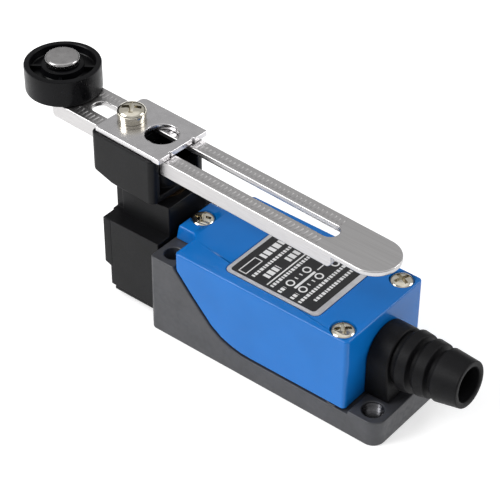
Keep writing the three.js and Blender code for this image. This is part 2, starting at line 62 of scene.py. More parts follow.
# Line where the cover meets the base, seen from the side as (x, z).
PARTING = [
    (-24.56, 20.87), (-22.71, 18.83), (-19.85, 15.57), (-16.99, 12.59), (-14.11, 9.61),
    (-11.22, 7.67), (-8.34, 6.62), (-5.47, 6.02), (-2.61, 5.9), (23.1, 6.0),
]
PARTING_DOWN, PARTING_UP = 0.3, 0.15
COVER_SCREWS = [(-27.7, 0.0), (19.65, -10.65), (19.65, 10.65)]
SCREW_SEAT, SCREW_POST_R = 23.8, 3
HEAD_SCREW_Y, HEAD_SCREW_HEIGHTS, HEAD_SCREW_HOLE_R = 6.2, (5, 15.8), 1.3
PLUNGER_Z, PLUNGER_HOLE_R = 11.2, 2.3
LABEL_BOX = (-12.4, 13.0, 11.1)
BOOT_X, BOOT_Z, BOOT_TILT, BOOT_TIP = 26.0, 15.0, math.radians(5), 19.2
BOOT_RINGS = [(4.55, 7.1), (8.8, 11.4), (13.05, BOOT_TIP)]
BOOT_GROOVE, BOOT_BORE_R = 1.1, 4.0
HEAD_X0, HEAD_X1, HEAD_HALF, HEAD_Z0, HEAD_Z1 = -49.1, -32.2, 10.5, 2.4, 21.4
NECK_X0, NECK_HALF, NECK_TOP = -49.6, 6.5, 29.3
HUB = (-14.5, 5.0, 8.5, 29.9, 41.55)
ARM_TIP_X, ARM_HALF, ARM_Z0, ARM_Z1, ARM_SHEET = 60.7, 6.0, 37.5, 41.5, 1.3
SLOT_X0, SLOT_X1, SLOT_HALF = -19.3, 48.8, 2.2
PLATE = (-13.4, 6.5, 7.85, 41.6, 43.0)
CLAMP_X, CLAMP_HOLE_R, CLAMP_SEAT = -9.4, 2.15, 43.95
GROOVE_START, GROOVE_PITCH, GROOVE_COUNT = -24.0, 1.2, 62
GROOVE_ROWS = [(-5.35, -2.95), (2.85, 4.95)]
GROOVE_HALF, GROOVE_FOOT, GROOVE_DEPTH, GROOVE_TAPER = 0.38, 0.08, 0.2, 0.3
ROLLER_X, ROLLER_R, ROLLER_Z0, ROLLER_Z1 = -31.6, 9.04, 41.75, 48.45
ROLLER_HUB, ROLLER_RIM = 5.0, 7.65

LEVER = Matrix.Translation((PIVOT_X, 0, 0)) @ Matrix.Rotation(LEVER_ANGLE, 4, "Z")
BOOT_AXIS = (
    Matrix.Translation((BOOT_X, 0, BOOT_Z))
    @ Matrix.Rotation(-BOOT_TILT, 4, "Y")
    @ Matrix.Rotation(math.pi / 2, 4, "Y")
)


# ---- Mesh tools ---------------------------------------------------------


def to_object(name, bm, matrix=Matrix.Identity(4)):
    """Bakes millimetre geometry into a metre mesh object."""
    bm.transform(Matrix.Scale(MM, 4) @ matrix)
    bmesh.ops.recalc_face_normals(bm, faces=bm.faces)
    mesh = bpy.data.meshes.new(name)
    bm.to_mesh(mesh)
    bm.free()
    piece = bpy.data.objects.new(name, mesh)
    bpy.context.scene.collection.objects.link(piece)
    return piece


def add_prism(bm, outline, low, high, axis="Z"):
    """Adds a straight prism; the outline is (x, y), (y, z) or (x, z) for axis Z, X or Y."""
    place = {
        "Z": lambda u, v, w: (u, v, w),
        "X": lambda u, v, w: (w, u, v),
        "Y": lambda u, v, w: (u, w, v),
    }[axis]
    bottom = [bm.verts.new(place(u, v, low)) for u, v in outline]
    top = [bm.verts.new(place(u, v, high)) for u, v in outline]
    bm.faces.new(bottom[::-1])
    bm.faces.new(top)
    count = len(outline)
    for i in range(count):
        j = (i + 1) % count
        bm.faces.new((bottom[i], bottom[j], top[j], top[i]))


def prism(outline, low, high, axis="Z", matrix=Matrix.Identity(4)):
    bm = bmesh.new()
    add_prism(bm, outline, low, high, axis)
    return to_object("tool", bm, matrix)


def arc(cx, cy, r, start, end, steps):
    """Points of an arc, with its angles in degrees."""
    angles = [math.radians(start + (end - start) * i / steps) for i in range(steps + 1)]
    return [(cx + r * math.cos(a), cy + r * math.sin(a)) for a in angles]


def circle(cx, cy, r, sides=64):
    return arc(cx, cy, r, 0, 360, sides)[:-1]


def rounded_rect(x0, x1, y0, y1, r, steps=8):
    return (
        arc(x1 - r, y1 - r, r, 0, 90, steps)
        + arc(x0 + r, y1 - r, r, 90, 180, steps)
        + arc(x0 + r, y0 + r, r, 180, 270, steps)
        + arc(x1 - r, y0 + r, r, 270, 360, steps)
    )


def stadium(x0, x1, r, steps=32):
    return arc(x1, 0, r, -90, 90, steps) + arc(x0, 0, r, 90, 270, steps)


def arch(r, centre_z, foot, steps=48):
    return [(r, foot)] + arc(0, centre_z, r, 0, 180, steps) + [(-r, foot)]


def block(x0, x1, y0, y1, z0, z1, matrix=Matrix.Identity(4)):
    return prism([(x0, y0), (x1, y0), (x1, y1), (x0, y1)], z0, z1, "Z", matrix)


def rod(r, x, y, z0, z1, sides=64, matrix=Matrix.Identity(4)):
    return prism(circle(x, y, r, sides), z0, z1, "Z", matrix)


def add_turned(bm, profile, sides):
    """Adds a closed (r, z) profile turned about Z; points on the axis become poles."""
    rings = []
    for r, z in profile:
        if r < 1e-6:
            rings.append([bm.verts.new((0, 0, z))])
        else:
            rings.append([bm.verts.new((x, y, z)) for x, y in circle(0, 0, r, sides)])
    pairs = list(zip(rings, rings[1:]))
    if len(rings[0]) > 1:
        pairs.append((rings[-1], rings[0]))
    for lower, upper in pairs:
        for i in range(sides):
            j = (i + 1) % sides
            corners = [lower[i % len(lower)], lower[j % len(lower)]]
            corners += [upper[j % len(upper)], upper[i % len(upper)]]
            unique = list(dict.fromkeys(corners))
            if len(unique) > 2:
                bm.faces.new(unique)


def turned(name, profile, matrix=Matrix.Identity(4), sides=96):
    bm = bmesh.new()
    add_turned(bm, profile, sides)
    return to_object(name, bm, matrix)


def bake_modifiers(piece):
    graph = bpy.context.evaluated_depsgraph_get()
    baked = bpy.data.meshes.new_from_object(piece.evaluated_get(graph))
    piece.modifiers.clear()
    piece.data = baked


def combine(piece, others, operation):
    """Joins, cuts or intersects a piece with helper solids, which are then removed."""
    for other in others:
        modifier = piece.modifiers.new(operation, "BOOLEAN")
        modifier.operation = operation
        modifier.solver = "MANIFOLD"
        modifier.object = other
        bake_modifiers(piece)
        bpy.data.objects.remove(other)
    return piece


def soften(piece, width, segments=3, angle=32):
    """Merges flat faces, rounds every edge sharper than the angle and shades the piece."""
    bm = bmesh.new()
    bm.from_mesh(piece.data)
    bmesh.ops.remove_doubles(bm, verts=bm.verts, dist=1e-5)
    bmesh.ops.dissolve_limit(bm, angle_limit=math.radians(0.5), verts=bm.verts, edges=bm.edges)
    bm.to_mesh(piece.data)
    bm.free()
    modifier = piece.modifiers.new("edge", "BEVEL")
    modifier.width = width * MM
    modifier.segments = segments
    modifier.limit_method = "ANGLE"
    modifier.angle_limit = math.radians(angle)
    modifier.use_clamp_overlap = False
    bake_modifiers(piece)
    return shade(piece, angle)


def shade(piece, angle=32):
    """Shades a piece with flat faces kept flat and sharp edges sharp, and triangulates it."""
    piece.data.shade_smooth()
    piece.data.set_sharp_from_angle(angle=math.radians(angle))
    modifier = piece.modifiers.new("normals", "WEIGHTED_NORMAL")
    modifier.keep_sharp = True
    modifier.weight = 80
    triangles = piece.modifiers.new("triangles", "TRIANGULATE")
    triangles.keep_custom_normals = True
    bake_modifiers(piece)
    return piece


def refine(node, material, body, width):
    """Replaces a CAD node with a copy of it that has rounded edges."""
    piece = frame["nodes"][node].copy()
    piece.data = frame["nodes"][node].data.copy()
    piece.parent = None
    piece.matrix_world = Matrix.Identity(4)
    bpy.context.scene.collection.objects.link(piece)
    soften(piece, width)
    return finish_piece(piece, node + "_detail", material, body, [node])


def finish_piece(piece, name, material, body, nodes=()):
    """Names a piece, gives it its material and ties it to its CAD body and nodes."""
    piece.name = name
    piece.data.name = name
    piece.data.materials.clear()
    piece.data.materials.append(material)
    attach(piece, body)
    if nodes:
        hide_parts(*nodes)
    return piece


# ---- Materials ----------------------------------------------------------


class Shader:
    """A Principled material whose colour, roughness and bump come from procedural nodes."""

    def __init__(self, name, roughness=0.5, metallic=0.0):
        self.material = bpy.data.materials.new(name)
        self.material.use_nodes = True
        self.nodes = self.material.node_tree.nodes
        self.links = self.material.node_tree.links
        self.bsdf = self.nodes["Principled BSDF"]
        self.bsdf.inputs["Roughness"].default_value = roughness
        self.bsdf.inputs["Metallic"].default_value = metallic
        self.coords = self.nodes.new("ShaderNodeTexCoord").outputs["Object"]

    def mapped(self, scale=(1, 1, 1), location=(0, 0, 0), angle=0.0):
        node = self.nodes.new("ShaderNodeMapping")
        node.inputs["Scale"].default_value = scale
        node.inputs["Location"].default_value = location
        node.inputs["Rotation"].default_value = (0, 0, angle)
        self.links.new(self.coords, node.inputs["Vector"])
        return node.outputs["Vector"]

    def noise(self, scale, detail=3.0, vector=None):
        node = self.nodes.new("ShaderNodeTexNoise")
        node.inputs["Scale"].default_value = scale
        node.inputs["Detail"].default_value = detail
        self.links.new(vector or self.coords, node.inputs["Vector"])
        return node.outputs["Fac"]

    def remap(self, value, low, high, source=(0.3, 0.7)):
        node = self.nodes.new("ShaderNodeMapRange")
        node.inputs["From Min"].default_value = source[0]
        node.inputs["From Max"].default_value = source[1]
        node.inputs["To Min"].default_value = low
        node.inputs["To Max"].default_value = high
        self.links.new(value, node.inputs["Value"])
        return node.outputs["Result"]

    def colour(self, value, dark, light):
        node = self.nodes.new("ShaderNodeMix")
        node.data_type = "RGBA"
        node.inputs["A"].default_value = (*dark, 1)
        node.inputs["B"].default_value = (*light, 1)
        self.links.new(self.remap(value, 0, 1), node.inputs["Factor"])
        self.links.new(node.outputs["Result"], self.bsdf.inputs["Base Color"])

    def rough(self, value, low, high):
        self.links.new(self.remap(value, low, high), self.bsdf.inputs["Roughness"])

    def bump(self, value, strength, depth):
        node = self.nodes.new("ShaderNodeBump")
        node.inputs["Strength"].default_value = strength
        node.inputs["Distance"].default_value = depth * MM
        self.links.new(value, node.inputs["Height"])
        self.links.new(node.outputs["Normal"], self.bsdf.inputs["Normal"])

    def set(self, name, value):
        self.bsdf.inputs[name].default_value = value


def painted_casting():
    shader = Shader("painted_casting", 0.42)
    grain = shader.noise(900, 4)
    shader.colour(shader.noise(160, 3), (0.035, 0.036, 0.041), (0.049, 0.050, 0.057))
    shader.rough(grain, 0.36, 0.52)
    shader.bump(grain, 0.2, 0.12)
    return shader.material


def glossy_blue():
    shader = Shader("glossy_blue", 0.2)
    shader.colour(shader.noise(70, 2), (0.002, 0.135, 0.46), (0.004, 0.153, 0.52))
    shader.rough(shader.noise(240, 3), 0.16, 0.26)
    shader.bump(shader.noise(420, 2), 0.06, 0.06)
    shader.set("Specular IOR Level", 0.28)
    return shader.material


def satin_black():
    shader = Shader("satin_black", 0.42)
    grain = shader.noise(2600, 3)
    shader.colour(shader.noise(180, 3), (0.0035, 0.0035, 0.004), (0.006, 0.006, 0.007))
    shader.rough(grain, 0.34, 0.46)
    shader.bump(grain, 0.15, 0.05)
    shader.set("Specular IOR Level", 0.15)
    return shader.material


def moulded_rubber():
    shader = Shader("moulded_rubber", 0.62)
    grain = shader.noise(3200, 3)
    shader.colour(shader.noise(220, 4), (0.003, 0.003, 0.0035), (0.006, 0.006, 0.007))
    shader.rough(grain, 0.42, 0.6)
    shader.bump(grain, 0.2, 0.05)
    shader.set("Specular IOR Level", 0.14)
    return shader.material


def roller_nylon():
    shader = Shader("roller_nylon", 0.38)
    shader.colour(shader.noise(300, 3), (0.002, 0.002, 0.0025), (0.004, 0.004, 0.005))
    shader.rough(shader.noise(700, 3), 0.24, 0.36)
    shader.bump(shader.noise(1500, 2), 0.1, 0.04)
    shader.set("Specular IOR Level", 0.13)
    return shader.material


def plated(name, dark, light, low, high):
    shader = Shader(name, 0.2, 1.0)
    shader.colour(shader.noise(500, 4), dark, light)
    shader.rough(shader.noise(1400, 3), low, high)
    shader.bump(shader.noise(2600, 2), 0.05, 0.02)
    return shader.material


def brushed(name, dark, light, low, high, grain=(60, 5200, 5200)):
    shader = Shader(name, 0.35, 1.0)
    streaks = shader.noise(1, 4, shader.mapped(grain, angle=-LEVER_ANGLE))
    shader.colour(streaks, dark, light)
    shader.rough(streaks, low, high)
    shader.bump(streaks, 0.12, 0.015)
    return shader.material


def plastic(name, dark, light, low, high):
    shader = Shader(name, 0.5)
    shader.colour(shader.noise(260, 3), dark, light)
    shader.rough(shader.noise(900, 3), low, high)
    shader.bump(shader.noise(2200, 2), 0.1, 0.04)
    return shader.material


CASTING = painted_casting()
BLUE = glossy_blue()
BLACK = satin_black()
RUBBER = moulded_rubber()
NYLON_BLACK = roller_nylon()
NICKEL = plated("bright_nickel", (0.62, 0.58, 0.48), (0.78, 0.74, 0.65), 0.1, 0.2)
STEEL = brushed("brushed_steel", (0.52, 0.51, 0.51), (0.60, 0.59, 0.59), 0.3, 0.38)
PLATE_STEEL = plated("satin_plate", (0.60, 0.59, 0.60), (0.68, 0.67, 0.68), 0.2, 0.28)
RIVET_STEEL = plated("rivet_steel", (0.38, 0.37, 0.37), (0.48, 0.47, 0.47), 0.16, 0.26)
# Bare cut metal of the threads, its colour darkened far below bare metal as painted shade inside the
# tapped holes.
THREAD_METAL_PAINTED_SHADE = plated("thread_metal_painted_shade", (0.07, 0.07, 0.075), (0.16, 0.16, 0.17), 0.22, 0.36)
BRASS = plated("terminal_brass", (0.50, 0.34, 0.10), (0.64, 0.46, 0.17), 0.2, 0.34)
BRONZE = plated("bush_bronze", (0.10, 0.065, 0.035), (0.15, 0.10, 0.055), 0.35, 0.5)
PHENOLIC = plastic("brown_phenolic", (0.11, 0.026, 0.014), (0.17, 0.042, 0.022), 0.4, 0.55)
NYLON = plastic("natural_nylon", (0.68, 0.64, 0.55), (0.80, 0.77, 0.69), 0.35, 0.5)
FOIL = plated("label_foil", (0.72, 0.72, 0.74), (0.84, 0.84, 0.86), 0.35, 0.5)
INK = plastic("label_ink", (0.006, 0.006, 0.007), (0.011, 0.011, 0.012), 0.3, 0.42)
PRINT = plastic("label_print", (0.66, 0.66, 0.66), (0.78, 0.78, 0.78), 0.35, 0.5)


# ---- Housing ------------------------------------------------------------


def make_thread(name, x, y):
    """Bare metal of a tapped hole, coloured dark as painted shade of the hole, with its screw thread
    drawn as close rings.
    """
    low, high, outer, crest, core, pitch = 0.4, 6.3, 2.49, 2.38, 2.0, 0.72
    profile = [(outer, high), (outer, low), (crest, low)]
    for turn in range(8):
        middle = low + pitch * (turn + 0.5)
        profile += [(crest, middle - 0.28), (core, middle)]
    profile.append((crest, high))
    piece = turned(name, profile, Matrix.Translation((x, y, 0)), 48)
    shade(piece, 20)
    return finish_piece(piece, name, THREAD_METAL_PAINTED_SHADE, "housing")


def make_base():
    low = [(x, z - PARTING_DOWN) for x, z in PARTING]
    profile = [(-BASE_END, 0), (BASE_END, 0), (BASE_END, FLANGE_TOP), (FLANGE_X, FLANGE_TOP)]
    profile += [(FLANGE_X, low[-1][1]), *reversed(low)]
    profile += [(PLATEAU_X1, PLATEAU_TOP), (PLATEAU_X0, PLATEAU_TOP)]
    plan = (
        arc(29, 11, 3, 0, 90, 12) + arc(-30.5, 12.5, 1.5, 90, 180, 8)
        + arc(-30.5, -12.5, 1.5, 180, 270, 8) + arc(29, -11, 3, 270, 360, 12)
    )
    piece = prism(profile, -BASE_HALF - 1, BASE_HALF + 1, "Y")
    combine(piece, [prism(plan, -1, CLEAR_TOP)], "INTERSECT")
    combine(piece, [block(*BASE_POCKET, FLOOR_TOP, CLEAR_TOP)], "DIFFERENCE")
    combine(piece, [rod(SCREW_POST_R, x, y, 1, 5.7) for x, y in COVER_SCREWS[1:]], "UNION")
    tools = [rod(1.5, x, y, 1.1 if x > 0 else 15.2, CLEAR_TOP, 32) for x, y in COVER_SCREWS]
    tools.append(prism(circle(0, PLUNGER_Z, PLUNGER_HOLE_R, 48), -33, -23, "X"))
    for side in (-1, 1):
        tools.append(rod(MOUNT_HOLE_R, -MOUNT_X, side * MOUNT_Y, -1, CLEAR_TOP))
        tools.append(rod(THREAD_HOLE_R, MOUNT_X, side * MOUNT_Y, -1, CLEAR_TOP))
        for z in HEAD_SCREW_HEIGHTS:
            hole = circle(side * HEAD_SCREW_Y, z, HEAD_SCREW_HOLE_R, 32)
            tools.append(prism(hole, -33, -23, "X"))
    tools += [rod(1, x, 0, 0.9, 4, 24) for x in (-9.5, 6.5)]
    combine(piece, tools, "DIFFERENCE")
    soften(piece, 0.3)
    make_thread("mount_thread_1", MOUNT_X, -MOUNT_Y)
    make_thread("mount_thread_2", MOUNT_X, MOUNT_Y)
    return finish_piece(piece, "base_shell", CASTING, "housing", ["base_housing"])


def make_cover():
    under = PLATEAU_TOP + 0.05
    profile = [(-31.1, under), (PLATEAU_X1, under)]
    profile += [(x, z + PARTING_UP) for x, z in PARTING]
    profile += [(COVER_X1, COVER_TOP), (TONGUE_X0, COVER_TOP)]
    piece = prism(profile, -COVER_HALF - 1, COVER_HALF + 1, "Y")
    outline = rounded_rect(COVER_X0, COVER_X1, -COVER_HALF, COVER_HALF, 1)
    plan = prism(outline, 0, CLEAR_TOP)
    root, fillet_x = TONGUE_HALF + TONGUE_FILLET, COVER_X0 - TONGUE_FILLET
    combine(plan, [
        block(fillet_x, COVER_X0 + 2, -root, root, 0, CLEAR_TOP),
        block(-33, COVER_X0, -TONGUE_HALF, TONGUE_HALF, 0, CLEAR_TOP),
    ], "UNION")
    fillets = [
        rod(TONGUE_FILLET, fillet_x, side * root, -1, CLEAR_TOP + 1, 96) for side in (-1, 1)
    ]
    combine(plan, fillets, "DIFFERENCE")
    combine(piece, [plan], "INTERSECT")
    combine(piece, [
        block(-22, 21, -11.6, 11.6, -1, 22.9),
        block(-23.3, -21, -8.5, 8.5, -1, 20.5),
        prism(arch(5.65, BOOT_Z, 0), 20, 25, "X"),
    ], "DIFFERENCE")
    combine(piece, [rod(SCREW_POST_R, x, y, 6.2, 24) for x, y in COVER_SCREWS[1:]], "UNION")
    soften(piece, 0.45)
    x0, x1, half = LABEL_BOX
    recess = rounded_rect(x0 - 0.3, x1 + 0.3, -half - 0.3, half + 0.3, 1.8)
    tools = [prism(recess, 24.72, CLEAR_TOP)]
    for x, y in COVER_SCREWS:
        tools += [rod(1.7, x, y, 0, CLEAR_TOP, 32), rod(2.9, x, y, SCREW_SEAT, CLEAR_TOP)]
    combine(piece, tools, "DIFFERENCE")
    shade(piece)
    return finish_piece(piece, "cover_shell", BLUE, "housing", ["front_cover"])


def make_label():
    """Dark field for the silver label plate, plain bars for the print and a contact diagram."""
    x0, x1, half = LABEL_BOX
    field = prism(rounded_rect(x0 + 0.9, x1 - 1.4, -half + 1.0, half - 1.0, 0.8), 25.121, 25.15)
    finish_piece(field, "label_field", INK, "housing")
    bm = bmesh.new()
    z0, z1 = 25.151, 25.17

    def bar(centre, height, ya, yb):
        xa, xb = centre - height / 2, centre + height / 2
        add_prism(bm, [(xa, ya), (xb, ya), (xb, yb), (xa, yb)], z0, z1)

    def row(centre, height, start, end):
        """Blocks of uneven length, like a line of print too small to read."""
        widths = [0.55, 0.8, 0.65, 0.9, 0.45, 0.75, 0.6]
        y, index = start, 0
        while y < end:
            width = widths[index % len(widths)] * (0.35 + 0.65 * height)
            bar(centre, height, y, min(y + width, end))
            y += width + 0.2 + 0.12 * height
            index += 1

    def ring_mark(x, y, outer=1.05, inner=0.68, sides=32):
        for i in range(sides):
            a, b = 2 * math.pi * i / sides, 2 * math.pi * (i + 1) / sides
            polar = ((inner, a), (outer, a), (outer, b), (inner, b))
            corners = [(r * math.cos(t) + x, r * math.sin(t) + y) for r, t in polar]
            add_prism(bm, corners, z0, z1)

    for edge in (-9.7, -7.7):
        bar(edge, 0.26, -9.4, -3.5)
    for edge in (-9.4, -3.76):
        bar(-8.7, 2.0, edge, edge + 0.26)
    row(-8.6, 1.9, -2.5, 9.2)
    row(-6.0, 0.85, -9.0, 9.0)
    row(-3.7, 1.8, -7.4, -2.9)
    row(-3.7, 1.8, 0.1, 8.6)
    bar(-1.85, 0.34, -9.3, 9.3)
    row(-0.7, 0.85, -9.2, 9.0)
    for x in (1.7, 5.1):
        row(x, 1.0, -9.6, -7.5)
        for y in (-5.6, 0.2, 5.9):
            ring_mark(x, y)
        for y in (-3.5, -1.9):
            bar(x, 0.9, y - 0.16, y + 0.16)
    bar(3.5, 0.62, -6.4, 0.8)
    bar(3.5, 0.3, 1.6, 6.6)
    row(7.2, 0.85, -9.6, 8.8)
    row(9.4, 0.85, -7.0, 7.2)
    marks = to_object("label_marks", bm)
    finish_piece(marks, "label_marks", PRINT, "housing")


# ---- Cable boot ---------------------------------------------------------


def boot_radius(s):
    """Outer radius of the tapering rings at a distance s along the boot's axis."""
    return 7.32 - 0.111 * (s - 2.2)


def rounded_ring(start, end, edge=0.28, steps=4):
    """Outer profile of one boot ring, with both edges rounded."""
    points = []
    angles = [math.radians(90 * i / steps) for i in range(steps + 1)]
    for a in angles:
        r = boot_radius(start) - edge * (1 - math.sin(a))
        points.append((r, start + edge * (1 - math.cos(a))))
    for a in angles:
        r = boot_radius(end) - edge * (1 - math.cos(a))
        points.append((r, end - edge * (1 - math.sin(a))))
    return points


def make_boot():
    profile = [(BOOT_BORE_R, 1.0), (5.6, 1.0), (5.85, 2.6)]
    for start, end in BOOT_RINGS:
        neck = boot_radius(start) - BOOT_GROOVE
        profile += [(neck, start - 1.3), (neck, start - 0.3), (neck + 0.25, start - 0.05)]
        profile += rounded_ring(start, end)
        profile += [(boot_radius(end) - BOOT_GROOVE + 0.25, end + 0.05)]
    profile[-1:] = [(4.45, BOOT_TIP), (4.15, BOOT_TIP - 0.12), (BOOT_BORE_R, BOOT_TIP - 0.45)]
    rings = turned("boot_rings", profile, BOOT_AXIS, 128)
    shade(rings, 50)
    finish_piece(rings, "boot_rings", RUBBER, "housing", ["cable_boot"])

    def end_x(height):
        return BOOT_X + (2.9 - (height - BOOT_Z) * math.sin(BOOT_TILT)) / math.cos(BOOT_TILT)

    side = [(23.25, 6.85), (end_x(6.85), 6.85), (end_x(23), 23), (23.25, 23)]
    root = prism(arch(6.9, BOOT_Z, 6), 23.2, 32, "X")
    combine(root, [prism(side, -10, 10, "Y")], "INTERSECT")
    combine(root, [prism(arch(5.4, BOOT_Z, 5.75), 20.8, 23.4, "X")], "UNION")
    combine(root, [prism(arch(6.5, BOOT_Z, 5.75), 19.5, 20.85, "X")], "UNION")
    combine(root, [rod(BOOT_BORE_R, 0, 0, -9, 20, 64, BOOT_AXIS)], "DIFFERENCE")
    soften(root, 0.4, 4)
    finish_piece(root, "boot_root", RUBBER, "housing", ["cable_boot"])


# ---- Head ---------------------------------------------------------------


def make_head():
    profile = [
        (HEAD_X1, HEAD_Z0), (HEAD_X1, HEAD_Z1), (HEAD_X0, HEAD_Z1), (HEAD_X0, 8.4), (-47.4, 7.8),
        (-47.4, HEAD_Z0),
    ]
    piece = prism(profile, -HEAD_HALF, HEAD_HALF, "Y")
    neck = block(NECK_X0, HEAD_X1, -NECK_HALF, NECK_HALF, HEAD_Z1 - 1, NECK_TOP)
    edges = [side * NECK_HALF for side in (-1, 1)]
    notches = [block(-52, -46.4, edge - 1.5, edge + 1.5, HEAD_Z1, 31) for edge in edges]
    combine(neck, notches, "DIFFERENCE")
    soften(neck, 0.3)
    soften(piece, 0.3)
    combine(piece, [neck], "UNION")
    tools = [
        block(-46.6, -33.2, -4.6, 4.6, 0, 17.5),
        rod(5.5, PIVOT_X, 0, 17, 22),
        rod(4.65, PIVOT_X, 0, 21, 31),
        prism(circle(0, PLUNGER_Z, PLUNGER_HOLE_R, 48), -35, -31, "X"),
    ]
    for side in (-1, 1):
        for z in HEAD_SCREW_HEIGHTS:
            hole = circle(side * HEAD_SCREW_Y, z, HEAD_SCREW_HOLE_R, 32)
            tools.append(prism(hole, -38.9, -31, "X"))
    seam = [(-46.95, 10.6), (-46.8, 10.38), (-46.65, 10.6)]
    tools += [prism([(x, side * y) for x, y in seam], 8.2, 22) for side in (-1, 1)]
    combine(piece, tools, "DIFFERENCE")
    shade(piece)
    return finish_piece(piece, "head_casting", BLACK, "housing", ["head_housing"])


# ---- Screws -------------------------------------------------------------


def make_screw(name, node, body, at, head_r, head_h, shank_r, length, turn):
    """Pan-head cross-recess screw whose head sits on z = at[2]."""
    angles = [math.radians(8 * i) for i in range(11)]
    dome = [(head_r * math.cos(a) ** 0.6, head_h * (0.4 + 0.6 * math.sin(a))) for a in angles]
    profile = [(0, -length), (shank_r * 0.7, -length), (shank_r, 0.6 - length), (shank_r, 0)]
    profile += [(head_r - 0.08, 0), (head_r, 0.08), *dome, (0, head_h)]
    matrix = Matrix.Translation(at) @ Matrix.Rotation(turn, 4, "Z")
    piece = turned(name, profile, matrix, 64)
    reach, half = head_r * 0.74, head_r * 0.15
    slot = [(-reach, head_h + 1), (-reach * 0.85, head_h * 0.6), (-reach * 0.35, head_h * 0.1)]
    outline = slot + [(-u, v) for u, v in reversed(slot)]
    tools = []
    for quarter in range(2):
        spin = matrix @ Matrix.Rotation(quarter * math.pi / 2, 4, "Z")
        tools.append(prism(outline, -half, half, "Y", spin))
    tools.append(turned("pit", [
        (0, head_h * 0.15), (head_r * 0.2, head_h * 0.3), (head_r * 0.27, head_h + 1), (0, head_h + 1),
    ], matrix, 32))
    combine(piece, tools, "DIFFERENCE")
    shade(piece, 40)
    return finish_piece(piece, name, NICKEL, body, [node])


# ---- Lever --------------------------------------------------------------


def make_hub():
    x0, x1, half, z0, z1 = HUB
    side = [(x0 - 1, z1), (x0 - 1, 31.85), (-8, z0), (x1 + 1, z0), (x1 + 1, z1)]
    piece = prism(rounded_rect(x0, x1, -half, half, 1.6), z0 - 1, z1, "Z", LEVER)
    combine(piece, [prism(side, -12, 12, "Y", LEVER)], "INTERSECT")
    pocket = block(1.2, 7, -6.1, 6.1, 31.6, 40, LEVER)
    combine(pocket, [rod(4.7, 0, 0, 30, 41, 64, LEVER)], "DIFFERENCE")
    combine(piece, [block(-20, 10, -6.2, 6.2, 37.3, 50, LEVER), pocket], "DIFFERENCE")
    combine(piece, [block(-13.6, -5.2, -4.3, 4.3, 37.2, 39.9, LEVER)], "UNION")
    combine(piece, [
        rod(3.06, 0, 0, 29, 38, 48, LEVER),
        rod(CLAMP_HOLE_R, CLAMP_X, 0, 29, 42, 48, LEVER),
        rod(4.05, CLAMP_X, 0, 28, 34.1, 6, LEVER),
    ], "DIFFERENCE")
    soften(piece, 0.3)
    return finish_piece(piece, "hub_body", BLACK, "lever", ["lever_hub"])


def make_plate():
    x0, x1, half, z0, z1 = PLATE
    outline = [(x1, -half + 0.4), (x1, half - 0.4)]
    outline += arc(x1 - 0.4, half - 0.4, 0.4, 0, 90, 4)[1:]
    outline += arc(x0 + 1.5, half - 1.5, 1.5, 90, 180, 12)
    outline += arc(x0 + 0.4, -half + 0.4, 0.4, 180, 270, 4)
    outline += arc(x1 - 0.4, -half + 0.4, 0.4, 270, 360, 4)[:-1]
    piece = prism(outline, z0, z1, "Z", LEVER)
    combine(piece, [
        rod(3.9, 0, 0, 40, 45, 96, LEVER),
        rod(CLAMP_HOLE_R, CLAMP_X, 0, 40, 45, 48, LEVER),
        block(x1 - 0.25, x1 + 1, -4, 3.5, 40, 45, LEVER),
        block(x1 - 0.6, x1 + 0.5, -4.2, -3.7, 40, 45, LEVER),
        block(x1 - 0.6, x1 + 0.5, 3.2, 3.7, 40, 45, LEVER),
    ], "DIFFERENCE")
    soften(piece, 0.2, 4)
    return finish_piece(piece, "plate_body", PLATE_STEEL, "lever", ["clamp_plate"])


def add_groove(bm, x, y0, y1):
    """Adds a cutter for one shallow groove across the arm, run out at both ends."""
    y2, y3 = y0 + GROOVE_TAPER, y1 - GROOVE_TAPER
    left, right = x - GROOVE_HALF, x + GROOVE_HALF
    upper = [(left, y0), (right, y0), (right, y1), (left, y1)]
    left, right = x - GROOVE_FOOT, x + GROOVE_FOOT
    lower = [(left, y2), (right, y2), (right, y3), (left, y3)]
    high = [bm.verts.new((*point, ARM_Z1 + 0.05)) for point in upper]
    low = [bm.verts.new((*point, ARM_Z1 - GROOVE_DEPTH)) for point in lower]
    bm.faces.new(high)
    bm.faces.new(low[::-1])
    for i in range(4):
        j = (i + 1) % 4
        bm.faces.new((low[i], low[j], high[j], high[i]))


def make_arm():
    outline = stadium(ROLLER_X, ARM_TIP_X, ARM_HALF, 48)
    piece = prism(outline, ARM_Z1 - ARM_SHEET, ARM_Z1, "Z", LEVER)
    rails = []
    for side in (-1, 1):
        near, far = sorted((side * ARM_HALF, side * (ARM_HALF - ARM_SHEET)))
        profile = [(-29.5, ARM_Z1 - 0.5), (-29.5, ARM_Z0 + 0.6), (-28.9, ARM_Z0), (53.2, ARM_Z0)]
        profile += [(54, ARM_Z0 + 0.8), (54, ARM_Z1 - 0.5)]
        rails.append(prism(profile, near, far, "Y", LEVER))
    combine(piece, rails, "UNION")
    combine(piece, [
        prism(stadium(SLOT_X0, SLOT_X1, SLOT_HALF), 36, 45, "Z", LEVER),
        rod(2.05, ROLLER_X, 0, 36, 45, 48, LEVER),
    ], "DIFFERENCE")
    soften(piece, 0.3, 4)
    grooves = bmesh.new()
    for index in range(GROOVE_COUNT):
        for y0, y1 in GROOVE_ROWS:
            add_groove(grooves, GROOVE_START + GROOVE_PITCH * index, y0, y1)
    combine(piece, [to_object("grooves", grooves, LEVER)], "DIFFERENCE")
    shade(piece, 28)
    return finish_piece(piece, "arm_body", STEEL, "arm", ["slotted_arm"])


